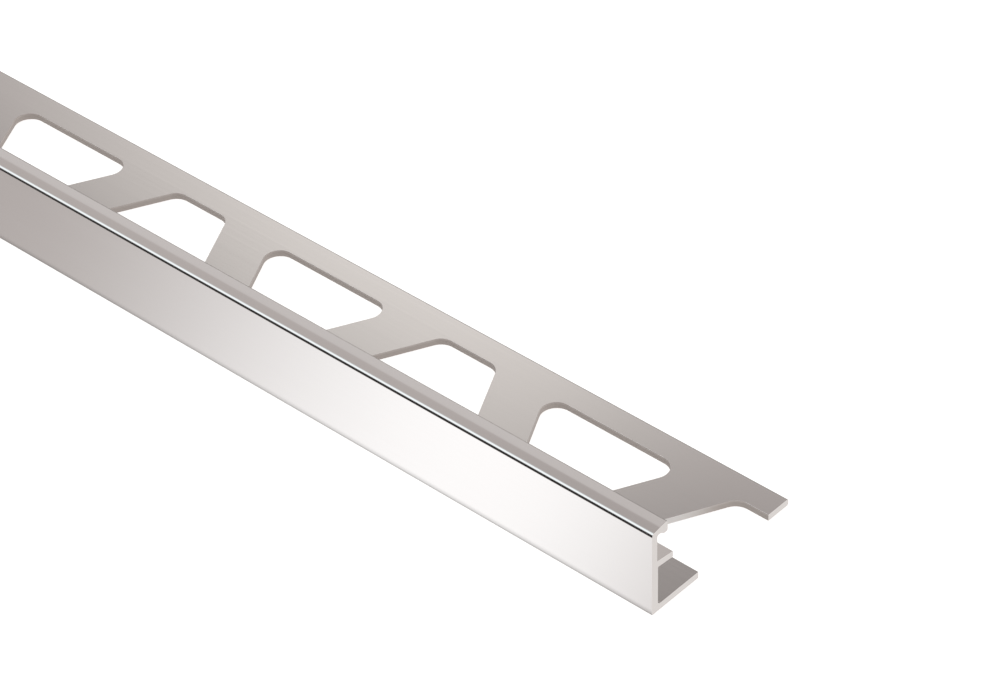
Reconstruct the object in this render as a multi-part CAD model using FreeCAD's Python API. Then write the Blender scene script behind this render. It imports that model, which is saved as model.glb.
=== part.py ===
"""Tile edge trim: one aluminium extrusion with a punched anchoring leg.

The stock lies on its leg, as it would on a floor. +X runs along the stock, -Y is the
finish face that stays in view once the tile is laid, and +Z is up. The origin is below
the middle of the bounding box, on the plane that the leg lies on. All sizes are in mm.
"""

import FreeCAD, Part
import math
import os

# Stock
STOCK_LENGTH = 1000.0
TRIM_HEIGHT = 12.5

# Finish wall: thicker below the spacer ledge, with its foot turned in very slightly
UPPER_WALL_THICKNESS = 0.9
LOWER_WALL_THICKNESS = 1.05
FACE_TURN_IN_START = 1.15
FACE_TURN_IN_ANGLE = 5.2
TOE_RADIUS = 0.06

# Lip over the edge of the tile: a narrow facet leans back from the finish face below a
# slightly crowned top
LIP_DEPTH = 2.7
LIP_FRONT_ANGLE = 11.0
LIP_BACK_ANGLE = 8.0
LIP_THICKNESS = 0.85
LIP_FACET_ANGLE = 18.0
LIP_FACET_DROP = 0.39
LIP_FACET_FOOT_RADIUS = 0.2
LIP_NOSE_RADIUS = 0.28
LIP_CROWN_RADIUS = 6.0
LIP_BACK_RADIUS = 0.22
LIP_ROOT_FILLET = 0.25

# Hooked bead under the back edge of the lip
BEAD_WIDTH = 0.6
BEAD_DROP = 0.4
BEAD_FLANK_RUN = 0.62
BEAD_FLANK_FILLET = 0.3
BEAD_INNER_RADIUS = 0.2
BEAD_OUTER_RADIUS = 0.25

# Spacer ledge behind the wall, which sets the joint to the tile
LEDGE_BELOW_TOP = 4.9
LEDGE_REACH = 2.6
LEDGE_ROOT_THICKNESS = 0.95
LEDGE_TIP_THICKNESS = 0.85
LEDGE_TIP_DROP = 0.33
LEDGE_TIP_RADIUS = 0.1
LEDGE_ROOT_FILLET = 0.12

# Anchoring leg: a solid land at the wall, the punched band and a solid back strip
LEG_THICKNESS = 0.95
LEG_ROOT_FILLET = 0.45
LEG_BACK_RADIUS = 0.3
LAND_WIDTH = 8.2
PUNCHED_WIDTH = 12.7
BACK_STRIP_WIDTH = 3.7

# Punched trapezoids, turned about by half a turn from one to the next
HOLE_LONG_SIDE = 21.8
HOLE_SHORT_SIDE = 8.8
HOLE_CORNER_RADIUS = 2.1
WEB_WIDTH = 7.8

LEG_WIDTH = LAND_WIDTH + PUNCHED_WIDTH + BACK_STRIP_WIDTH
HOLE_SPACING = (HOLE_LONG_SIDE + HOLE_SHORT_SIDE) / 2 + WEB_WIDTH
FACE_Y = -LEG_WIDTH / 2
PUNCH_OVERRUN = 1.0


def rounded_wire(corners):
    """Make a closed wire from (point, radius) corners, each rounded by a tangent arc.

    A radius of zero leaves its corner sharp.
    """
    edges = []
    last_end = None
    first_start = None
    count = len(corners)
    for index in range(count):
        point, radius = corners[index]
        to_previous = (corners[index - 1][0] - point).normalize()
        to_next = (corners[(index + 1) % count][0] - point).normalize()
        half_angle = to_previous.getAngle(to_next) / 2
        run = radius / math.tan(half_angle)
        start = point + to_previous * run
        end = point + to_next * run
        if last_end is not None:
            edges.append(Part.LineSegment(last_end, start).toShape())
        else:
            first_start = start
        if radius > 0:
            bisector = (to_previous + to_next).normalize()
            middle = point + bisector * (radius / math.sin(half_angle) - radius)
            edges.append(Part.Arc(start, middle, end).toShape())
        last_end = end
    edges.append(Part.LineSegment(last_end, first_start).toShape())
    return Part.Wire(edges)


def section_corners():
    """List the section's corners with their radii, from the toe round by the leg.

    Each corner is given as the distance behind the finish face and the height.
    """
    front_rise = math.tan(math.radians(LIP_FRONT_ANGLE))
    back_rise = math.tan(math.radians(LIP_BACK_ANGLE))
    rounded_off = LIP_BACK_RADIUS * (back_rise + math.hypot(1, back_rise) - 1)
    crown = LIP_DEPTH / 2
    lip_back_height = TRIM_HEIGHT + rounded_off
    crown_height = lip_back_height - (LIP_DEPTH - crown) * back_rise
    nose_height = crown_height - crown * front_rise
    facet_steepness = 1 / math.tan(math.radians(LIP_FACET_ANGLE))
    facet_depth = LIP_FACET_DROP / (facet_steepness - front_rise)
    facet_top = nose_height + facet_depth * front_rise
    roof = nose_height + UPPER_WALL_THICKNESS * front_rise - LIP_THICKNESS
    bead_bottom = roof - BEAD_DROP
    bead_front = LIP_DEPTH - BEAD_WIDTH
    ledge_top = TRIM_HEIGHT - LEDGE_BELOW_TOP
    ledge_tip_top = ledge_top - LEDGE_TIP_DROP
    ledge_tip = LOWER_WALL_THICKNESS + LEDGE_REACH
    turn_in_height = FACE_TURN_IN_START / 2
    turn_in_run = turn_in_height - 2 * TOE_RADIUS
    turn_in_radius = turn_in_run / math.tan(math.radians(FACE_TURN_IN_ANGLE / 2))
    toe = turn_in_height * math.tan(math.radians(FACE_TURN_IN_ANGLE))
    return [
        (toe, 0.0, TOE_RADIUS),
        (LEG_WIDTH, 0.0, LEG_BACK_RADIUS),
        (LEG_WIDTH, LEG_THICKNESS, LEG_BACK_RADIUS),
        (LOWER_WALL_THICKNESS, LEG_THICKNESS, LEG_ROOT_FILLET),
        (LOWER_WALL_THICKNESS, ledge_top - LEDGE_ROOT_THICKNESS, LEDGE_ROOT_FILLET),
        (ledge_tip, ledge_tip_top - LEDGE_TIP_THICKNESS, LEDGE_TIP_RADIUS),
        (ledge_tip, ledge_tip_top, LEDGE_TIP_RADIUS),
        (UPPER_WALL_THICKNESS, ledge_top, LEDGE_ROOT_FILLET),
        (UPPER_WALL_THICKNESS, roof, LIP_ROOT_FILLET),
        (bead_front - BEAD_FLANK_RUN, roof, BEAD_FLANK_FILLET),
        (bead_front, bead_bottom, BEAD_INNER_RADIUS),
        (LIP_DEPTH, bead_bottom, BEAD_OUTER_RADIUS),
        (LIP_DEPTH, lip_back_height, LIP_BACK_RADIUS),
        (crown, crown_height, LIP_CROWN_RADIUS),
        (facet_depth, facet_top, LIP_NOSE_RADIUS),
        (0.0, nose_height - LIP_FACET_DROP, LIP_FACET_FOOT_RADIUS),
        (0.0, turn_in_height, turn_in_radius),
    ]


def extrude_section():
    """Extrude the section along the whole stock."""
    start_x = -STOCK_LENGTH / 2
    corners = []
    for depth, height, radius in section_corners():
        corners.append((FreeCAD.Vector(start_x, FACE_Y + depth, height), radius))
    face = Part.Face(rounded_wire(corners))
    return face.extrude(FreeCAD.Vector(STOCK_LENGTH, 0, 0))


def trapezoid_punch(centre_x, long_side_at_back):
    """Make the punch of one perforation, a little taller than the leg is thick."""
    front_y = FACE_Y + LAND_WIDTH
    back_y = front_y + PUNCHED_WIDTH
    back_half = (HOLE_LONG_SIDE if long_side_at_back else HOLE_SHORT_SIDE) / 2
    front_half = (HOLE_SHORT_SIDE if long_side_at_back else HOLE_LONG_SIDE) / 2
    outline = [
        FreeCAD.Vector(centre_x - front_half, front_y, -PUNCH_OVERRUN),
        FreeCAD.Vector(centre_x + front_half, front_y, -PUNCH_OVERRUN),
        FreeCAD.Vector(centre_x + back_half, back_y, -PUNCH_OVERRUN),
        FreeCAD.Vector(centre_x - back_half, back_y, -PUNCH_OVERRUN),
    ]
    wire = rounded_wire([(point, HOLE_CORNER_RADIUS) for point in outline])
    height = LEG_THICKNESS + 2 * PUNCH_OVERRUN
    return Part.Face(wire).extrude(FreeCAD.Vector(0, 0, height))


def punch_row():
    """Make every punch, from the right-hand end, which cuts one in half, to the left."""
    right_end = STOCK_LENGTH / 2
    last = math.ceil(STOCK_LENGTH / HOLE_SPACING)
    punches = []
    for index in range(last + 1):
        long_side_at_back = index % 2 == 1
        punches.append(trapezoid_punch(right_end - index * HOLE_SPACING, long_side_at_back))
    return punches


def edge_trim():
    """Make the finished stock: the extrusion with its leg punched."""
    return extrude_section().cut(punch_row())


os.makedirs("parts", exist_ok=True)
trim = edge_trim()
trim.exportStep("parts/edge_trim.step")
box = trim.BoundBox
print("edge_trim: %.1f x %.2f x %.2f mm" % (box.XLength, box.YLength, box.ZLength))
print("valid %s, solids %d, %.0f mm3" % (trim.isValid(), len(trim.Solids), trim.Volume))
print("hole spacing %.3f mm" % HOLE_SPACING)
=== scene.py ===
"""Dress the tile edge trim: one polished, nickel-tone anodised aluminium extrusion.

The stock is modelled as one closed mesh that stands for the CAD solid and adds what a
punch and a saw leave on it: rolled-over edges round the perforations, dull sheared
walls and sawn ends. Lengths are in millimetres until a mesh is made, which is in metres.
"""

import logging
import math
from dataclasses import dataclass
from enum import Enum

import bmesh
import bpy
from mathutils import Matrix, Vector


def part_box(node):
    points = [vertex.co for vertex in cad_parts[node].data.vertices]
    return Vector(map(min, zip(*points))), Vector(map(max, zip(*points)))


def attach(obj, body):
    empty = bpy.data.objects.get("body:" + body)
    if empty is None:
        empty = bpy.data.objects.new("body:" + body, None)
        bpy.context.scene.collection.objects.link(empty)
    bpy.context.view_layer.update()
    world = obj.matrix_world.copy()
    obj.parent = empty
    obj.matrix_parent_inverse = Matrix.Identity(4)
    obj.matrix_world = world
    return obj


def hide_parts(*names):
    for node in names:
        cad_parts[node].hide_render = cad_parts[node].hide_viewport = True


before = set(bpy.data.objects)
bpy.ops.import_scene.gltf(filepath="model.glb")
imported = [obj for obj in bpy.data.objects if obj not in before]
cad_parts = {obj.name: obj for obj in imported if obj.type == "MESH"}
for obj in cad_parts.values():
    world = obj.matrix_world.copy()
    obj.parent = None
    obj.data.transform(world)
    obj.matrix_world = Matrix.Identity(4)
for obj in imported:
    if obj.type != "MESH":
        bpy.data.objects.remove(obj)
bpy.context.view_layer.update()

LOG = logging.getLogger("edge_trim")
MM = 0.001
SRGB_KNEE = 0.04045
SRGB_KNEE_SLOPE = 12.92
SRGB_OFFSET = 0.055
SRGB_POWER = 2.4
FEWEST_ARC_SEGMENTS = 2
TENT_WHITE = "#FFFDFC"
CAD_NODE = "edge_trim"

# Leaves only a vector's share across the stock
ACROSS_STOCK = (0.0, 1.0, 1.0)

Point = tuple[float, float]


def linear(hex_colour: str) -> tuple[float, float, float, float]:
    """Turn an sRGB hex colour into a linear one.

    Args:
        hex_colour: The colour as #RRGGBB.

    Returns:
        Red, green, blue and an alpha of 1.
    """
    channels = []
    for start in (1, 3, 5):
        value = int(hex_colour[start:start + 2], 16) / 255
        if value <= SRGB_KNEE:
            channels.append(value / SRGB_KNEE_SLOPE)
        else:
            channels.append(((value + SRGB_OFFSET) / (1 + SRGB_OFFSET)) ** SRGB_POWER)
    return (channels[0], channels[1], channels[2], 1.0)


def add_node(tree: bpy.types.NodeTree, kind: str, settings: dict | None = None,
             values: dict | None = None, links: dict | None = None) -> bpy.types.Node:
    """Add a node with its settings, its unlinked values and its links.

    Args:
        tree: The node tree that gets the node.
        kind: The node's type, as Blender names it.
        settings: Properties of the node, by name.
        values: Values of its inputs, by socket name or number.
        links: Output sockets that feed its inputs, by socket name or number.

    Returns:
        The new node.
    """
    node = tree.nodes.new(kind)
    for name, value in (settings or {}).items():
        setattr(node, name, value)
    for socket, value in (values or {}).items():
        node.inputs[socket].default_value = value
    for socket, source in (links or {}).items():
        tree.links.new(source, node.inputs[socket])
    return node


def empty_material(name: str) -> bpy.types.Material:
    """Start a material without any node.

    Args:
        name: The material's name.

    Returns:
        The new material.
    """
    made = bpy.data.materials.new(name)
    made.use_nodes = True
    made.node_tree.nodes.clear()
    return made


def arc_points(before: Point, corner: Point, after: Point, radius: float, grown: float,
               step: float) -> list[Point]:
    """Round a corner by a tangent arc, or by one concentric with it.

    Args:
        before: The corner before this one.
        corner: The corner to round.
        after: The corner after this one.
        radius: The tangent arc's radius.
        grown: How much larger the concentric arc is.
        step: The largest turn of one segment, in degrees.

    Returns:
        The arc's points in order, its two ends included.
    """
    point = Vector(corner)
    to_before = (Vector(before) - point).normalized()
    to_after = (Vector(after) - point).normalized()
    half = to_before.angle(to_after) / 2
    centre = point + (to_before + to_after).normalized() * (radius / math.sin(half))
    spoke = (point + to_before * (radius / math.tan(half)) - centre).normalized()
    turn = math.pi - 2 * half
    side = -1 if to_before.cross(to_after) > 0 else 1
    count = max(FEWEST_ARC_SEGMENTS, math.ceil(math.degrees(turn) / step))
    points = []
    for index in range(count + 1):
        turned = Matrix.Rotation(side * turn * index / count, 2) @ spoke
        points.append(tuple(centre + turned * (radius + grown)))
    return points


class Surface(Enum):
    """How a face of the stock was made, by its place in the mesh's list of materials."""

    ANODISED = 0
    PUNCHED = 1
    SAWN = 2


class LongSide(Enum):
    """Where a trapezoid perforation has its long side."""

    FRONT = "front"
    BACK = "back"


@dataclass(frozen=True)
class TrimSection:
    """The section across the stock, as distances behind the finish face and heights."""

    # Places in the list of corners
    TOE = 0
    LEG_BACK_BELOW = 1
    LEG_BACK_ABOVE = 2
    LEG_ROOT = 3
    NOSE = 14

    height: float
    leg_width: float
    upper_wall: float = 0.9
    lower_wall: float = 1.05
    toe_radius: float = 0.06
    face_turn_in_angle: float = 5.2
    face_turn_in_start: float = 1.15
    lip_depth: float = 2.7
    lip_front_angle: float = 11.0
    lip_back_angle: float = 8.0
    lip_thickness: float = 0.85
    nose_facet_angle: float = 18.0
    nose_facet_drop: float = 0.39
    nose_foot_radius: float = 0.2
    lip_nose_radius: float = 0.28
    lip_crown_radius: float = 6.0
    lip_back_radius: float = 0.22
    lip_root_fillet: float = 0.25
    bead_width: float = 0.6
    bead_drop: float = 0.4
    bead_flank_run: float = 0.62
    bead_flank_fillet: float = 0.3
    bead_inner_radius: float = 0.2
    bead_outer_radius: float = 0.25
    ledge_below_top: float = 4.9
    ledge_reach: float = 2.6
    ledge_root_thickness: float = 0.95
    ledge_tip_thickness: float = 0.85
    ledge_tip_drop: float = 0.33
    ledge_tip_radius: float = 0.1
    ledge_root_fillet: float = 0.12
    leg_thickness: float = 0.95
    leg_root_fillet: float = 0.45
    leg_back_radius: float = 0.3
    arc_step: float = 10.0

    def corners(self) -> list[tuple[Point, float]]:
        """List the corners with their radii, from the toe along the leg and back.

        Returns:
            Pairs of a corner, as its depth and height, and its radius.
        """
        front_rise = math.tan(math.radians(self.lip_front_angle))
        back_rise = math.tan(math.radians(self.lip_back_angle))
        rounded_off = self.lip_back_radius * (back_rise + math.hypot(1, back_rise) - 1)
        crown = self.lip_depth / 2
        lip_back = self.height + rounded_off
        crown_height = lip_back - (self.lip_depth - crown) * back_rise
        nose = crown_height - crown * front_rise
        facet_steepness = 1 / math.tan(math.radians(self.nose_facet_angle))
        facet_depth = self.nose_facet_drop / (facet_steepness - front_rise)
        roof = nose + self.upper_wall * front_rise - self.lip_thickness
        bead_bottom = roof - self.bead_drop
        bead_front = self.lip_depth - self.bead_width
        ledge_top = self.height - self.ledge_below_top
        tip_top = ledge_top - self.ledge_tip_drop
        tip = self.lower_wall + self.ledge_reach
        turn_in = math.tan(math.radians(self.face_turn_in_angle))
        turn_in_height = self.face_turn_in_start / 2
        turn_in_run = turn_in_height - 2 * self.toe_radius
        turn_in_radius = turn_in_run / math.tan(math.radians(self.face_turn_in_angle / 2))
        return [
            ((turn_in_height * turn_in, 0.0), self.toe_radius),
            ((self.leg_width, 0.0), self.leg_back_radius),
            ((self.leg_width, self.leg_thickness), self.leg_back_radius),
            ((self.lower_wall, self.leg_thickness), self.leg_root_fillet),
            ((self.lower_wall, ledge_top - self.ledge_root_thickness), self.ledge_root_fillet),
            ((tip, tip_top - self.ledge_tip_thickness), self.ledge_tip_radius),
            ((tip, tip_top), self.ledge_tip_radius),
            ((self.upper_wall, ledge_top), self.ledge_root_fillet),
            ((self.upper_wall, roof), self.lip_root_fillet),
            ((bead_front - self.bead_flank_run, roof), self.bead_flank_fillet),
            ((bead_front, bead_bottom), self.bead_inner_radius),
            ((self.lip_depth, bead_bottom), self.bead_outer_radius),
            ((self.lip_depth, lip_back), self.lip_back_radius),
            ((crown, crown_height), self.lip_crown_radius),
            ((facet_depth, nose + facet_depth * front_rise), self.lip_nose_radius),
            ((0.0, nose - self.nose_facet_drop), self.nose_foot_radius),
            ((0.0, turn_in_height), turn_in_radius),
        ]

    def arcs(self) -> list[list[Point]]:
        """Round every corner.

        Returns:
            One list of points for each corner, in the order of corners().
        """
        corners = self.corners()
        rounded = []
        for index, (corner, radius) in enumerate(corners):
            before = corners[index - 1][0]
            after = corners[(index + 1) % len(corners)][0]
            rounded.append(arc_points(before, corner, after, radius, 0.0, self.arc_step))
        return rounded

    def nose_middle(self) -> Point:
        """Find the middle of the rounding where the lip's top turns down into its facet.

        Returns:
            The place, as its depth and height.
        """
        arc = self.arcs()[self.NOSE]
        return arc[len(arc) // 2]


@dataclass(frozen=True)
class Perforation:
    """One rounded trapezoid punched through the leg, with the edge that the punch rolls over."""

    front: float = 8.2
    depth: float = 12.7
    long_side: float = 21.8
    short_side: float = 8.8
    corner_radius: float = 2.1
    web: float = 7.8
    roll_over: float = 0.03
    break_out: float = 0.03
    arc_step: float = 9.0
    roll_segments: int = 2

    @property
    def spacing(self) -> float:
        """Distance from one perforation's centre to the next one's."""
        return (self.long_side + self.short_side) / 2 + self.web

    def half_outline(self, long_side: LongSide, grown: float) -> list[Point]:
        """Trace the right half of the outline, from its front edge to its back edge.

        Args:
            long_side: Where the long side is.
            grown: How far outside the punch's outline the line runs.

        Returns:
            Points as the distance from the centre line and the depth behind the face.
        """
        back = self.front + self.depth
        at_front = long_side is LongSide.FRONT
        front_half = (self.long_side if at_front else self.short_side) / 2
        back_half = (self.short_side if at_front else self.long_side) / 2
        front_corner = (front_half, self.front)
        back_corner = (back_half, back)
        points = [(0.0, self.front - grown)]
        points += arc_points((0.0, self.front), front_corner, back_corner,
                             self.corner_radius, grown, self.arc_step)
        points += arc_points(front_corner, back_corner, (0.0, back),
                             self.corner_radius, grown, self.arc_step)
        points.append((0.0, back + grown))
        return points

    def wall_levels(self, thickness: float) -> list[tuple[float, float]]:
        """List the lines of the punched wall, from the rolled top edge down.

        Args:
            thickness: The leg's thickness.

        Returns:
            Pairs of how far outside the punch's outline a line runs, and its height.
        """
        levels = []
        for index in range(self.roll_segments + 1):
            angle = math.pi / 2 * index / self.roll_segments
            outside = self.roll_over * (1 - math.sin(angle))
            levels.append((outside, thickness - self.roll_over * (1 - math.cos(angle))))
        levels.append((0.0, self.break_out))
        levels.append((self.break_out, 0.0))
        return levels


class StockMesh:
    """The shape of the stock: a cell of the section, repeated and sawn to its length."""

    PUNCHED_FACES = "punched_wall"
    WELD = 1e-6
    SHARP_ANGLE = 38.0
    CELLS_IN_PAIR = 2

    def __init__(self, section: TrimSection, perforation: Perforation, face_y: float,
                 left_end: float, right_end: float) -> None:
        """Keep the sizes.

        Args:
            section: The section across the stock.
            perforation: The perforation that repeats along the leg.
            face_y: Where the finish face is, in mm.
            left_end: The left end's place along the stock, in mm.
            right_end: The right end's place along the stock, in mm.
        """
        self.section = section
        self.perforation = perforation
        self.face_y = face_y
        self.left_end = left_end
        self.right_end = right_end

    def at(self, x: float, depth: float, height: float) -> tuple[float, float, float]:
        """Turn a place on the stock, in mm, into a vertex in metres."""
        return (x * MM, (self.face_y + depth) * MM, height * MM)

    def add_face(self, bm: bmesh.types.BMesh, corners: list[tuple[float, float, float]],
                 surface: Surface) -> None:
        """Add one face from its corners.

        Args:
            bm: The mesh that gets the face.
            corners: The corners, as distance along the stock, depth and height.
            surface: How the face was made.
        """
        face = bm.faces.new([bm.verts.new(self.at(*corner)) for corner in corners])
        face.material_index = surface.value

    def add_section_strips(self, bm: bmesh.types.BMesh) -> None:
        """Add the faces that run the whole length of the cell, all but the leg's two flats."""
        spacing = self.perforation.spacing
        arcs = self.section.arcs()
        before_leg_flats = (self.section.TOE, self.section.LEG_BACK_ABOVE)
        for index, arc in enumerate(arcs):
            line = list(arc)
            if index not in before_leg_flats:
                line.append(arcs[(index + 1) % len(arcs)][0])
            for (depth, height), (next_depth, next_height) in zip(line, line[1:]):
                corners = [(-spacing, depth, height), (-spacing, next_depth, next_height),
                           (0.0, next_depth, next_height), (0.0, depth, height)]
                self.add_face(bm, corners, Surface.ANODISED)

    def add_leg_flat(self, bm: bmesh.types.BMesh, height: float, grown: float,
                     front: float, back: float, upward: bool) -> None:
        """Add one flat of the leg, with half a perforation cut from each end of the cell.

        Args:
            bm: The mesh that gets the face.
            height: The flat's height.
            grown: How far outside the punch's outline the flat stops.
            front: Where the flat starts behind the finish face.
            back: Where it ends.
            upward: Whether it looks up.
        """
        spacing = self.perforation.spacing
        right = self.perforation.half_outline(LongSide.FRONT, grown)
        left = self.perforation.half_outline(LongSide.BACK, grown)
        outline = [(0.0, front)]
        outline += [(-x, depth) for x, depth in right]
        outline += [(0.0, back), (-spacing, back)]
        outline += [(x - spacing, depth) for x, depth in reversed(left)]
        outline.append((-spacing, front))
        if not upward:
            outline.reverse()
        self.add_face(bm, [(x, depth, height) for x, depth in outline], Surface.ANODISED)

    def add_punched_walls(self, bm: bmesh.types.BMesh) -> None:
        """Add the walls of the two half perforations, with their rolled top edge."""
        spacing = self.perforation.spacing
        levels = self.perforation.wall_levels(self.section.leg_thickness)
        for long_side in LongSide:
            for (grown, height), (next_grown, next_height) in zip(levels, levels[1:]):
                upper = self.perforation.half_outline(long_side, grown)
                lower = self.perforation.half_outline(long_side, next_grown)
                for index in range(len(upper) - 1):
                    ring = [(upper[index], height), (upper[index + 1], height),
                            (lower[index + 1], next_height), (lower[index], next_height)]
                    corners = [(-x, depth, z) for (x, depth), z in ring]
                    if long_side is LongSide.BACK:
                        corners = [(-x - spacing, depth, z) for x, depth, z in reversed(corners)]
                    rolled = height > self.section.leg_thickness - self.perforation.roll_over
                    surface = Surface.ANODISED if rolled else Surface.PUNCHED
                    self.add_face(bm, corners, surface)

    def cell(self, finishes: dict[Surface, bpy.types.Material]) -> bpy.types.Object:
        """Build the cell: from a perforation's centre, at x 0, to the next one's, on its left.

        Args:
            finishes: The finish of each kind of surface.

        Returns:
            The cell as an object, with its punched faces marked by an attribute.
        """
        section = self.section
        arcs = section.arcs()
        bottom_front, bottom_back = arcs[section.TOE][-1][0], arcs[section.LEG_BACK_BELOW][0][0]
        top_back, top_front = arcs[section.LEG_BACK_ABOVE][-1][0], arcs[section.LEG_ROOT][0][0]
        levels = self.perforation.wall_levels(section.leg_thickness)
        bm = bmesh.new()
        self.add_section_strips(bm)
        self.add_leg_flat(bm, levels[0][1], levels[0][0], top_front, top_back, True)
        self.add_leg_flat(bm, levels[-1][1], levels[-1][0], bottom_front, bottom_back, False)
        self.add_punched_walls(bm)
        bmesh.ops.remove_doubles(bm, verts=bm.verts, dist=self.WELD)
        mesh = bpy.data.meshes.new("stock_cell")
        for surface in Surface:
            mesh.materials.append(finishes[surface])
        bm.to_mesh(mesh)
        bm.free()
        marks = mesh.attributes.new(self.PUNCHED_FACES, "BOOLEAN", "FACE")
        for polygon in mesh.polygons:
            marks.data[polygon.index].value = polygon.material_index == Surface.PUNCHED.value
        cell = bpy.data.objects.new("stock_cell", mesh)
        bpy.context.scene.collection.objects.link(cell)
        return cell

    def row_tree(self) -> bpy.types.NodeTree:
        """Build the node tree that repeats the cell: mirrored into a pair, then in a row.

        Returns:
            The geometry node tree, with its sizes and finishes as named inputs.
        """
        tree = bpy.data.node_groups.new("perforated_row", "GeometryNodeTree")
        kinds = {"Cell": "NodeSocketGeometry", "Spacing": "NodeSocketFloat",
                 "Right end": "NodeSocketFloat", "Pairs": "NodeSocketInt",
                 "Weld": "NodeSocketFloat", "Anodised": "NodeSocketMaterial",
                 "Punched": "NodeSocketMaterial"}
        for name, kind in kinds.items():
            tree.interface.new_socket(name, in_out="INPUT", socket_type=kind)
        tree.interface.new_socket("Row", in_out="OUTPUT", socket_type="NodeSocketGeometry")
        given = add_node(tree, "NodeGroupInput").outputs
        pitch = add_node(tree, "ShaderNodeMath", {"operation": "MULTIPLY"},
                         {1: -self.CELLS_IN_PAIR}, {0: given["Spacing"]})
        one_pitch_left = add_node(tree, "ShaderNodeCombineXYZ", links={"X": pitch.outputs[0]})
        mirrored = add_node(tree, "GeometryNodeTransform", values={"Scale": (-1.0, 1.0, 1.0)},
                            links={"Geometry": given["Cell"],
                                   "Translation": one_pitch_left.outputs[0]})
        turned_out = add_node(tree, "GeometryNodeFlipFaces", links={"Mesh": mirrored.outputs[0]})
        pair = add_node(tree, "GeometryNodeJoinGeometry", links={0: given["Cell"]})
        tree.links.new(turned_out.outputs[0], pair.inputs[0])
        start = add_node(tree, "ShaderNodeCombineXYZ", links={"X": given["Right end"]})
        places = add_node(tree, "GeometryNodeMeshLine", {"mode": "OFFSET"},
                          links={"Count": given["Pairs"], "Start Location": start.outputs[0],
                                 "Offset": one_pitch_left.outputs[0]})
        row = add_node(tree, "GeometryNodeInstanceOnPoints",
                       links={"Points": places.outputs[0], "Instance": pair.outputs[0]})
        real = add_node(tree, "GeometryNodeRealizeInstances", links={0: row.outputs[0]})
        welded = add_node(tree, "GeometryNodeMergeByDistance",
                          links={"Geometry": real.outputs[0], "Distance": given["Weld"]})
        marks = add_node(tree, "GeometryNodeInputNamedAttribute", {"data_type": "BOOLEAN"},
                         {"Name": self.PUNCHED_FACES})
        finished = add_node(tree, "GeometryNodeSetMaterial",
                            links={"Geometry": welded.outputs[0], "Material": given["Anodised"]})
        sheared = add_node(tree, "GeometryNodeSetMaterial",
                           links={"Geometry": finished.outputs[0], "Material": given["Punched"],
                                  "Selection": marks.outputs["Attribute"]})
        add_node(tree, "NodeGroupOutput", links={"Row": sheared.outputs[0]})
        return tree

    def repeat(self, cell: bpy.types.Object,
               finishes: dict[Surface, bpy.types.Material]) -> bpy.types.Mesh:
        """Repeat the cell past the left end, as one plain mesh.

        Args:
            cell: The cell, which is removed.
            finishes: The finish of each kind of surface.

        Returns:
            The row's mesh, open at both ends.
        """
        spacing = self.perforation.spacing
        tree = self.row_tree()
        inputs = {"Spacing": spacing * MM, "Right end": self.right_end * MM,
                  "Pairs": math.ceil((self.right_end - self.left_end)
                                     / (self.CELLS_IN_PAIR * spacing)),
                  "Weld": self.WELD, "Anodised": finishes[Surface.ANODISED],
                  "Punched": finishes[Surface.PUNCHED]}
        modifier = cell.modifiers.new("perforated_row", "NODES")
        modifier.node_group = tree
        for item in tree.interface.items_tree:
            if item.in_out == "INPUT" and item.name in inputs:
                modifier[item.identifier] = inputs[item.name]
        depsgraph = bpy.context.evaluated_depsgraph_get()
        evaluated = cell.evaluated_get(depsgraph)
        mesh = bpy.data.meshes.new_from_object(evaluated, preserve_all_data_layers=True,
                                               depsgraph=depsgraph)
        cell.modifiers.remove(modifier)
        cell_mesh = cell.data
        bpy.data.objects.remove(cell)
        bpy.data.meshes.remove(cell_mesh)
        return mesh

    def saw(self, mesh: bpy.types.Mesh) -> None:
        """Saw the row to its length and close both ends.

        Args:
            mesh: The row's mesh, changed in place.
        """
        bm = bmesh.new()
        bm.from_mesh(mesh)
        everything = bm.verts[:] + bm.edges[:] + bm.faces[:]
        bmesh.ops.bisect_plane(bm, geom=everything, dist=self.WELD, clear_inner=True,
                               plane_co=self.at(self.left_end, 0, 0), plane_no=(1, 0, 0))
        for end_x, outward in ((self.left_end, -1), (self.right_end, 1)):
            rim = [edge for edge in bm.edges if edge.is_boundary
                   and all(abs(vert.co.x - end_x * MM) < self.WELD for vert in edge.verts)]
            made = bmesh.ops.triangle_fill(bm, use_beauty=True, use_dissolve=True, edges=rim)
            for face in made["geom"]:
                if isinstance(face, bmesh.types.BMFace):
                    face.material_index = Surface.SAWN.value
                    face.normal_update()
                    if face.normal.x * outward < 0:
                        face.normal_flip()
        for face in bm.faces:
            face.smooth = True
        for edge in bm.edges:
            turn = math.degrees(edge.calc_face_angle(math.pi))
            edge.smooth = turn < self.SHARP_ANGLE
        bm.to_mesh(mesh)
        bm.free()


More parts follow.
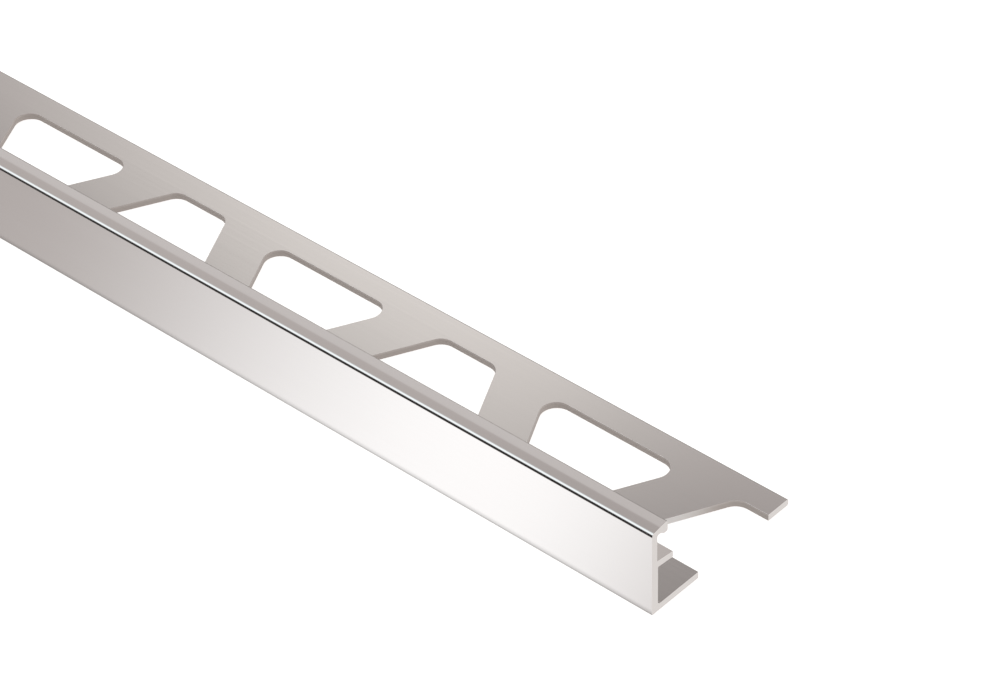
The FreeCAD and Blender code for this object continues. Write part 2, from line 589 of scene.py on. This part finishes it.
@dataclass(frozen=True)
class AnodisedAluminium:
    """Extruded aluminium, polished and anodised to a warm nickel tone.

    To the eye it is a nearly mirror-bright warm grey, with faint lines from the die that
    run along the stock and break up long reflections. Round the line at nose_y and nose_z
    the colour turns near white: a painted highlight along the lip's nose.
    """

    nose_y: float
    nose_z: float
    # Painted highlight along the lip's nose: its near-white colour and its full and faded reach
    painted_highlight_colour: str = "#F5F6F6"
    painted_highlight_reach: tuple[float, float] = (0.15, 0.29)
    colour: str = "#DED6D3"
    deeper_colour: str = "#DAD2CF"
    cloud_size: float = 30.0
    cloud_detail: float = 2.0
    roughness_low: float = 0.1
    roughness_high: float = 0.15
    die_line_spacing: float = 0.3
    die_line_length: float = 160.0
    die_line_height: float = 0.0004
    die_line_detail: float = 3.0

    def material(self) -> bpy.types.Material:
        """Build the finish of every extruded face.

        Returns:
            The material.
        """
        made = empty_material("polished_anodised_aluminium")
        tree = made.node_tree
        place = add_node(tree, "ShaderNodeTexCoord").outputs["Object"]
        cloud = add_node(tree, "ShaderNodeTexNoise",
                         values={"Detail": self.cloud_detail, "Scale": 1 / (self.cloud_size * MM)},
                         links={"Vector": place})
        tone = add_node(tree, "ShaderNodeMix", {"data_type": "RGBA"},
                        {"A": linear(self.colour), "B": linear(self.deeper_colour)},
                        {"Factor": cloud.outputs["Fac"]})
        section = add_node(tree, "ShaderNodeVectorMath", {"operation": "MULTIPLY"},
                           {1: ACROSS_STOCK}, {0: place})
        # Painted highlight: near the lip's nose the colour turns near white
        from_nose = add_node(tree, "ShaderNodeVectorMath", {"operation": "DISTANCE"},
                             {1: (0.0, self.nose_y * MM, self.nose_z * MM)},
                             {0: section.outputs["Vector"]})
        full, faded = self.painted_highlight_reach
        painted_highlight = add_node(tree, "ShaderNodeMapRange", {"interpolation_type": "SMOOTHSTEP"},
                          {"From Min": faded * MM, "From Max": full * MM},
                          {"Value": from_nose.outputs["Value"]})
        metal = add_node(tree, "ShaderNodeMix", {"data_type": "RGBA"},
                         {"B": linear(self.painted_highlight_colour)},
                         {"Factor": painted_highlight.outputs["Result"], "A": tone.outputs["Result"]})
        along = 1 / (self.die_line_length * MM)
        across = 1 / (self.die_line_spacing * MM)
        drawn = add_node(tree, "ShaderNodeMapping", {"vector_type": "POINT"},
                         {"Scale": (along, across, across)}, {"Vector": place})
        lines = add_node(tree, "ShaderNodeTexNoise",
                         values={"Scale": 1.0, "Detail": self.die_line_detail},
                         links={"Vector": drawn.outputs[0]})
        gloss = add_node(tree, "ShaderNodeMapRange",
                         values={"To Min": self.roughness_low, "To Max": self.roughness_high},
                         links={"Value": lines.outputs["Fac"]})
        relief = add_node(tree, "ShaderNodeBump",
                          values={"Strength": 1.0, "Distance": self.die_line_height * MM},
                          links={"Height": lines.outputs["Fac"]})
        shader = add_node(tree, "ShaderNodeBsdfPrincipled", values={"Metallic": 1.0},
                          links={"Base Color": metal.outputs["Result"],
                                 "Roughness": gloss.outputs["Result"],
                                 "Normal": relief.outputs["Normal"]})
        add_node(tree, "ShaderNodeOutputMaterial", links={"Surface": shader.outputs["BSDF"]})
        return made


@dataclass(frozen=True)
class PunchedAluminium:
    """Aluminium sheared by a punch after anodising, with painted light beside the sawn ends.

    To the eye the walls are a dull mid grey, a little smoother in the top third, with fine
    upright drag marks. Beside a sawn end the front half of the wall is painted near white
    and made glossier, as painted light.
    """

    stock_end: float
    hole_front: float
    burnished_colour: str = "#DCD4CF"
    torn_colour: str = "#D7CFCA"
    # Colour of the painted light beside the sawn ends
    painted_light_colour: str = "#FFFBF8"
    burnished_roughness: float = 0.62
    torn_roughness: float = 0.7
    painted_light_roughness: float = 0.3
    burnish_start: float = 0.62
    burnish_end: float = 0.8
    # Reach of the painted light from the sawn end and from the hole's front
    painted_light_from_end: tuple[float, float] = (12.0, 16.0)
    painted_light_from_front: tuple[float, float] = (5.2, 11.2)
    drag_spacing: float = 0.25
    drag_length: float = 3.0
    drag_depth: float = 0.012
    drag_detail: float = 2.0

    def material(self) -> bpy.types.Material:
        """Build the finish of the perforations' walls.

        Returns:
            The material.
        """
        made = empty_material("sheared_aluminium")
        tree = made.node_tree
        place = add_node(tree, "ShaderNodeTexCoord").outputs["Object"]
        axes = add_node(tree, "ShaderNodeSeparateXYZ", links={"Vector": place}).outputs
        burnish = add_node(tree, "ShaderNodeMapRange", {"interpolation_type": "SMOOTHSTEP"},
                           {"From Min": self.burnish_start * MM,
                            "From Max": self.burnish_end * MM}, {"Value": axes["Z"]})
        punched = add_node(tree, "ShaderNodeMix", {"data_type": "RGBA"},
                           {"A": linear(self.torn_colour), "B": linear(self.burnished_colour)},
                           {"Factor": burnish.outputs["Result"]})
        # Painted light: beside the sawn ends the wall's front half turns near white and glossier
        from_middle = add_node(tree, "ShaderNodeMath", {"operation": "ABSOLUTE"},
                               links={0: axes["X"]})
        full, faded = self.painted_light_from_end
        by_end = add_node(tree, "ShaderNodeMapRange", {"interpolation_type": "SMOOTHSTEP"},
                          {"From Min": (self.stock_end - faded) * MM,
                           "From Max": (self.stock_end - full) * MM},
                          {"Value": from_middle.outputs[0]})
        full, faded = self.painted_light_from_front
        by_front = add_node(tree, "ShaderNodeMapRange", {"interpolation_type": "SMOOTHSTEP"},
                            {"From Min": (self.hole_front + faded) * MM,
                             "From Max": (self.hole_front + full) * MM}, {"Value": axes["Y"]})
        bright = add_node(tree, "ShaderNodeMath", {"operation": "MULTIPLY"},
                          links={0: by_end.outputs["Result"], 1: by_front.outputs["Result"]})
        tone = add_node(tree, "ShaderNodeMix", {"data_type": "RGBA"},
                        {"B": linear(self.painted_light_colour)},
                        {"Factor": bright.outputs[0], "A": punched.outputs["Result"]})
        dull = add_node(tree, "ShaderNodeMapRange",
                        values={"To Min": self.torn_roughness, "To Max": self.burnished_roughness},
                        links={"Value": burnish.outputs["Result"]})
        gloss = add_node(tree, "ShaderNodeMapRange", values={"To Max": self.painted_light_roughness},
                         links={"Value": bright.outputs[0], "To Min": dull.outputs["Result"]})
        across = 1 / (self.drag_spacing * MM)
        upright = 1 / (self.drag_length * MM)
        dragged = add_node(tree, "ShaderNodeMapping", values={"Scale": (across, across, upright)},
                           links={"Vector": place})
        marks = add_node(tree, "ShaderNodeTexNoise",
                         values={"Scale": 1.0, "Detail": self.drag_detail},
                         links={"Vector": dragged.outputs[0]})
        relief = add_node(tree, "ShaderNodeBump",
                          values={"Strength": 1.0, "Distance": self.drag_depth * MM},
                          links={"Height": marks.outputs["Fac"]})
        shader = add_node(tree, "ShaderNodeBsdfPrincipled", values={"Metallic": 1.0},
                          links={"Base Color": tone.outputs["Result"],
                                 "Roughness": gloss.outputs["Result"],
                                 "Normal": relief.outputs["Normal"]})
        add_node(tree, "ShaderNodeOutputMaterial", links={"Surface": shader.outputs["BSDF"]})
        return made


@dataclass(frozen=True)
class SawnAluminium:
    """Bare aluminium where a circular saw cut the stock.

    To the eye it is a pale, satin face with fine arcs left by the teeth, drawn a little
    coarser than they are so that they show.
    """

    # Turn of Blender's wave pattern over one unit of length at a scale of 1, in radians
    WAVE_TURN = 20.0

    colour: str = "#E0DBD8"
    roughness: float = 0.34
    hub_behind: float = 62.5
    hub_above: float = 125.0
    tooth_mark_spacing: float = 0.35
    mark_depth: float = 0.004
    mark_wander: float = 0.6
    mark_detail: float = 2.0

    def material(self) -> bpy.types.Material:
        """Build the finish of the two sawn ends.

        Returns:
            The material.
        """
        made = empty_material("sawn_aluminium")
        tree = made.node_tree
        place = add_node(tree, "ShaderNodeTexCoord").outputs["Object"]
        hub = add_node(tree, "ShaderNodeMapping",
                       values={"Location": (0.0, -self.hub_behind * MM, -self.hub_above * MM)},
                       links={"Vector": place})
        scale = 2 * math.pi / (self.WAVE_TURN * self.tooth_mark_spacing * MM)
        arcs = add_node(tree, "ShaderNodeTexWave",
                        {"wave_type": "RINGS", "rings_direction": "X"},
                        {"Scale": scale, "Distortion": self.mark_wander,
                         "Detail": self.mark_detail}, {"Vector": hub.outputs[0]})
        relief = add_node(tree, "ShaderNodeBump",
                          values={"Strength": 1.0, "Distance": self.mark_depth * MM},
                          links={"Height": arcs.outputs["Fac"]})
        shader = add_node(tree, "ShaderNodeBsdfPrincipled",
                          values={"Metallic": 1.0, "Roughness": self.roughness,
                                  "Base Color": linear(self.colour)},
                          links={"Normal": relief.outputs["Normal"]})
        add_node(tree, "ShaderNodeOutputMaterial", links={"Surface": shader.outputs["BSDF"]})
        return made


class EdgeTrim:
    """The finished stock, dressed and set in the frame."""

    def __init__(self) -> None:
        """Take the overall sizes from the CAD solid."""
        low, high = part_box(CAD_NODE)
        self.section = TrimSection(height=high.z / MM, leg_width=(high.y - low.y) / MM)
        self.perforation = Perforation()
        self.shape = StockMesh(self.section, self.perforation, low.y / MM,
                               low.x / MM, high.x / MM)

    def extruded_finish(self) -> AnodisedAluminium:
        """Place the extruded finish's painted highlight along the nose of this stock."""
        depth, height = self.section.nose_middle()
        return AnodisedAluminium(self.shape.face_y + depth, height)

    def punched_finish(self) -> PunchedAluminium:
        """Place the punched finish's painted light at the ends of this stock."""
        return PunchedAluminium(self.shape.right_end, self.shape.face_y + self.perforation.front)

    def build(self) -> bpy.types.Object:
        """Build the stock in the place of its CAD node.

        Returns:
            The stock as one closed mesh.
        """
        finishes = {Surface.ANODISED: self.extruded_finish().material(),
                    Surface.PUNCHED: self.punched_finish().material(),
                    Surface.SAWN: SawnAluminium().material()}
        mesh = self.shape.repeat(self.shape.cell(finishes), finishes)
        self.shape.saw(mesh)
        mesh.name = "edge_trim_finish"
        stock = bpy.data.objects.new("edge_trim_finish", mesh)
        bpy.context.scene.collection.objects.link(stock)
        shading = stock.modifiers.new("flats_stay_flat", "WEIGHTED_NORMAL")
        shading.keep_sharp = True
        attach(stock, "root")
        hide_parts(CAD_NODE)
        return stock


@dataclass(frozen=True)
class SoftStrip:
    """A soft strip of light that lies along the stock, or of shade where it takes light away.

    Its angle goes round the stock: 0 is beyond the leg, 90 is overhead and 180 is in front
    of the finish face. Its reach goes along the stock, from -1 at the left to 1 at the
    right: where it starts, where it is full, where it is full to, and where it ends.
    """

    angle: float
    full: float
    faded: float
    reach: tuple[float, float, float, float]
    strength: float
    colour: str = "#EDF9FE"

    def shine(self, tree: bpy.types.NodeTree, along: bpy.types.NodeSocket,
              around: bpy.types.NodeSocket,
              level: bpy.types.NodeSocket) -> bpy.types.NodeSocket:
        """Add the strip to the light that comes from each direction.

        Args:
            tree: The tent cloth's node tree.
            along: The direction's share along the stock.
            around: The direction across the stock, of unit length.
            level: The light so far.

        Returns:
            The light with the strip.
        """
        turn = math.radians(self.angle)
        nearness = add_node(tree, "ShaderNodeVectorMath", {"operation": "DOT_PRODUCT"},
                            {1: (0.0, math.cos(turn), math.sin(turn))}, {0: around})
        start, full_from, full_to, end = self.reach
        spans = [(math.cos(math.radians(self.faded)), math.cos(math.radians(self.full)),
                  nearness.outputs["Value"]), (start, full_from, along), (end, full_to, along)]
        amount = None
        for faded_at, full_at, place in spans:
            share = add_node(tree, "ShaderNodeMapRange", {"interpolation_type": "SMOOTHSTEP"},
                             {"From Min": faded_at, "From Max": full_at},
                             {"Value": place}).outputs["Result"]
            if amount is not None:
                share = add_node(tree, "ShaderNodeMath", {"operation": "MULTIPLY"},
                                 links={0: amount, 1: share}).outputs[0]
            amount = share
        colour = [channel * self.strength for channel in linear(self.colour)[:3]]
        light = add_node(tree, "ShaderNodeVectorMath", {"operation": "SCALE"},
                         {"Vector": colour}, {"Scale": amount})
        return add_node(tree, "ShaderNodeVectorMath", {"operation": "ADD"},
                        links={0: level, 1: light.outputs["Vector"]}).outputs["Vector"]


def seen_or_mirrored(tree: bpy.types.NodeTree) -> bpy.types.NodeSocket:
    """Tell rays that show a background from those that only light the object.

    Args:
        tree: The node tree of the background's material or world.

    Returns:
        1 for what the camera sees, straight or in metal or through glass, and else 0.
    """
    rays = add_node(tree, "ShaderNodeLightPath").outputs
    shown = rays["Is Camera Ray"]
    for kind in ("Is Glossy Ray", "Is Transmission Ray"):
        shown = add_node(tree, "ShaderNodeMath", {"operation": "MAXIMUM"},
                         links={0: shown, 1: rays[kind]}).outputs[0]
    return shown


@dataclass(frozen=True)
class Studio:
    """A wide tent of lit cloth in a white room, and a pale floor under the object."""

    tent_radius: float = 80.0
    tent_level: float = 0.592
    tent_colour: str = TENT_WHITE
    tent_subdivisions: int = 5
    floor_size: float = 14.0
    floor_colour: str = "#EDEBE9"
    floor_glow: float = 0.7
    # Above each strip stands what mirrors it to the camera
    strips: tuple[SoftStrip, ...] = (
        # Finish face, and its turned-in foot
        SoftStrip(-132.0, 4.0, 15.0, (-0.632, -0.521, -0.503, -0.418), 1.005),
        SoftStrip(-108.0, 4.0, 18.0, (-0.8, -0.7, -0.40, -0.30), -0.45, TENT_WHITE),
        # Back roundings of the lip and the leg
        SoftStrip(6.0, 17.0, 28.0, (-0.8, -0.7, -0.40, -0.30), -0.36, TENT_WHITE),
        # Leg, towards the left
        SoftStrip(54.0, 2.0, 6.0, (-0.8, -0.7, -0.535, -0.495), -0.36, TENT_WHITE),
        # Facet and rounding of the nose
        SoftStrip(-169.0, 7.0, 11.5, (-0.7, -0.65, -0.42, -0.32), -0.57, TENT_WHITE),
        SoftStrip(125.0, 36.0, 43.0, (-0.8, -0.7, -0.4, -0.3), 0.47),
        # Lip, front half by the right end, and back half
        SoftStrip(76.0, 6.0, 10.0, (-0.53, -0.48, -0.38, -0.28), -0.085, TENT_WHITE),
        SoftStrip(61.5, 1.0, 9.0, (-0.95, -0.8, -0.515, -0.395), 0.228),
        # Leg, bright in its middle part and darker by the right end
        SoftStrip(42.0, 2.0, 11.0, (-0.685, -0.555, -0.543, -0.447), 0.585, "#F8FFFC"),
        SoftStrip(53.0, 2.0, 6.0, (-0.525, -0.475, -0.395, -0.295), -0.31, TENT_WHITE),
        # Sawn right end
        SoftStrip(-50.0, 14.0, 32.0, (0.15, 0.36, 0.6, 0.85), 0.45, "#FFFFFF"),
    )

    def paint_room(self) -> None:
        """Make the room plain white to the camera, and to metal and glass past the tent."""
        world = bpy.data.worlds.new("white_room")
        world.use_nodes = True
        world.cycles.sampling_method = "NONE"
        tree = world.node_tree
        tree.nodes.clear()
        white = add_node(tree, "ShaderNodeBackground", values={"Color": (1.0, 1.0, 1.0, 1.0)},
                         links={"Strength": seen_or_mirrored(tree)})
        add_node(tree, "ShaderNodeOutputWorld", links={"Surface": white.outputs[0]})
        bpy.context.scene.world = world

    def pitch_tent(self) -> bpy.types.Object:
        """Pitch the tent that lights the object, unseen by the camera and casting no shadow.

        Returns:
            The tent, so wide that its strips lie in one direction from the whole object.
        """
        made = empty_material("lit_tent_cloth")
        made.cycles.emission_sampling = "NONE"
        tree = made.node_tree
        place = add_node(tree, "ShaderNodeTexCoord").outputs["Object"]
        towards = add_node(tree, "ShaderNodeVectorMath", {"operation": "NORMALIZE"},
                           links={0: place}).outputs["Vector"]
        along = add_node(tree, "ShaderNodeSeparateXYZ", links={"Vector": towards}).outputs["X"]
        across = add_node(tree, "ShaderNodeVectorMath", {"operation": "MULTIPLY"},
                          {1: ACROSS_STOCK}, {0: towards})
        around = add_node(tree, "ShaderNodeVectorMath", {"operation": "NORMALIZE"},
                          links={0: across.outputs["Vector"]}).outputs["Vector"]
        plain = add_node(tree, "ShaderNodeVectorMath", {"operation": "SCALE"},
                         {"Vector": linear(self.tent_colour)[:3], "Scale": self.tent_level})
        level = plain.outputs["Vector"]
        for strip in self.strips:
            level = strip.shine(tree, along, around, level)
        cloth = add_node(tree, "ShaderNodeEmission", links={"Color": level})
        add_node(tree, "ShaderNodeOutputMaterial", links={"Surface": cloth.outputs[0]})
        bm = bmesh.new()
        bmesh.ops.create_icosphere(bm, subdivisions=self.tent_subdivisions,
                                   radius=self.tent_radius)
        mesh = bpy.data.meshes.new("tent")
        bm.to_mesh(mesh)
        bm.free()
        mesh.materials.append(made)
        tent = bpy.data.objects.new("tent", mesh)
        tent.visible_camera = False
        tent.visible_shadow = False
        bpy.context.scene.collection.objects.link(tent)
        return tent

    def lay_floor(self) -> bpy.types.Object:
        """Lay the floor, pale enough to show as white round a faint shadow.

        Returns:
            The floor, which metal doesn't mirror: it shows the tent's lower half instead.
        """
        made = empty_material("pale_floor")
        tree = made.node_tree
        matt = add_node(tree, "ShaderNodeBsdfDiffuse", values={"Color": linear(self.floor_colour)})
        glow = add_node(tree, "ShaderNodeMath", {"operation": "MULTIPLY"}, {1: self.floor_glow},
                        {0: seen_or_mirrored(tree)})
        lift = add_node(tree, "ShaderNodeEmission", links={"Strength": glow.outputs[0]})
        both = add_node(tree, "ShaderNodeAddShader", links={0: matt.outputs[0], 1: lift.outputs[0]})
        add_node(tree, "ShaderNodeOutputMaterial", links={"Surface": both.outputs[0]})
        half = self.floor_size / 2
        mesh = bpy.data.meshes.new("floor")
        mesh.from_pydata([(-half, -half, 0), (half, -half, 0), (half, half, 0), (-half, half, 0)],
                         [], [(0, 1, 2, 3)])
        mesh.materials.append(made)
        floor = bpy.data.objects.new("floor", mesh)
        floor.visible_glossy = False
        bpy.context.scene.collection.objects.link(floor)
        return floor


@dataclass(frozen=True)
class PhotoCamera:
    """The photograph's viewpoint, worked out from the straight edges of the stock."""

    image_width: int = 1000
    focal_pixels: float = 3759.11
    sensor_width: float = 36.0
    azimuth: float = 42.8193
    elevation: float = 39.0908
    roll: float = 1.6943
    beyond_right_end: float = 197.559
    before_face: float = 236.941
    above_floor: float = 289.306
    clip_start: float = 10.0

    def place(self, face_y: float, right_end: float) -> bpy.types.Object:
        """Set the camera up.

        Args:
            face_y: Where the finish face is, in mm.
            right_end: Where the stock's right end is, in mm.

        Returns:
            The camera.
        """
        azimuth, elevation = math.radians(self.azimuth), math.radians(self.elevation)
        forward = Vector((-math.sin(azimuth) * math.cos(elevation),
                          math.cos(azimuth) * math.cos(elevation), -math.sin(elevation)))
        level_right = Vector((math.cos(azimuth), math.sin(azimuth), 0.0))
        upright = Matrix((level_right, level_right.cross(forward), -forward)).transposed()
        tilt = Matrix.Rotation(-math.radians(self.roll), 3, "Z")
        data = bpy.data.cameras.new("photo_camera")
        data.sensor_width = self.sensor_width
        data.lens = self.focal_pixels * self.sensor_width / self.image_width
        data.clip_start = self.clip_start * MM
        camera = bpy.data.objects.new("photo_camera", data)
        where = Vector((right_end + self.beyond_right_end, face_y - self.before_face,
                        self.above_floor)) * MM
        camera.matrix_world = Matrix.Translation(where) @ (upright @ tilt).to_4x4()
        bpy.context.scene.collection.objects.link(camera)
        bpy.context.scene.camera = camera
        return camera


def main() -> None:
    """Build the studio and the stock, and report each piece."""
    logging.basicConfig(level=logging.INFO, format="%(name)s: %(message)s")
    bpy.context.scene.view_settings.view_transform = "Standard"
    trim = EdgeTrim()
    camera = PhotoCamera().place(trim.shape.face_y, trim.shape.right_end)
    LOG.info("camera at %.4f, %.4f, %.4f m", *camera.location)
    studio = Studio()
    studio.paint_room()
    for staged in (studio.pitch_tent(), studio.lay_floor()):
        LOG.info("%s set up", staged.name)
    stock = trim.build()
    LOG.info("stock %s: %d faces", stock.name, len(stock.data.polygons))


if __name__ == "__main__":
    main()
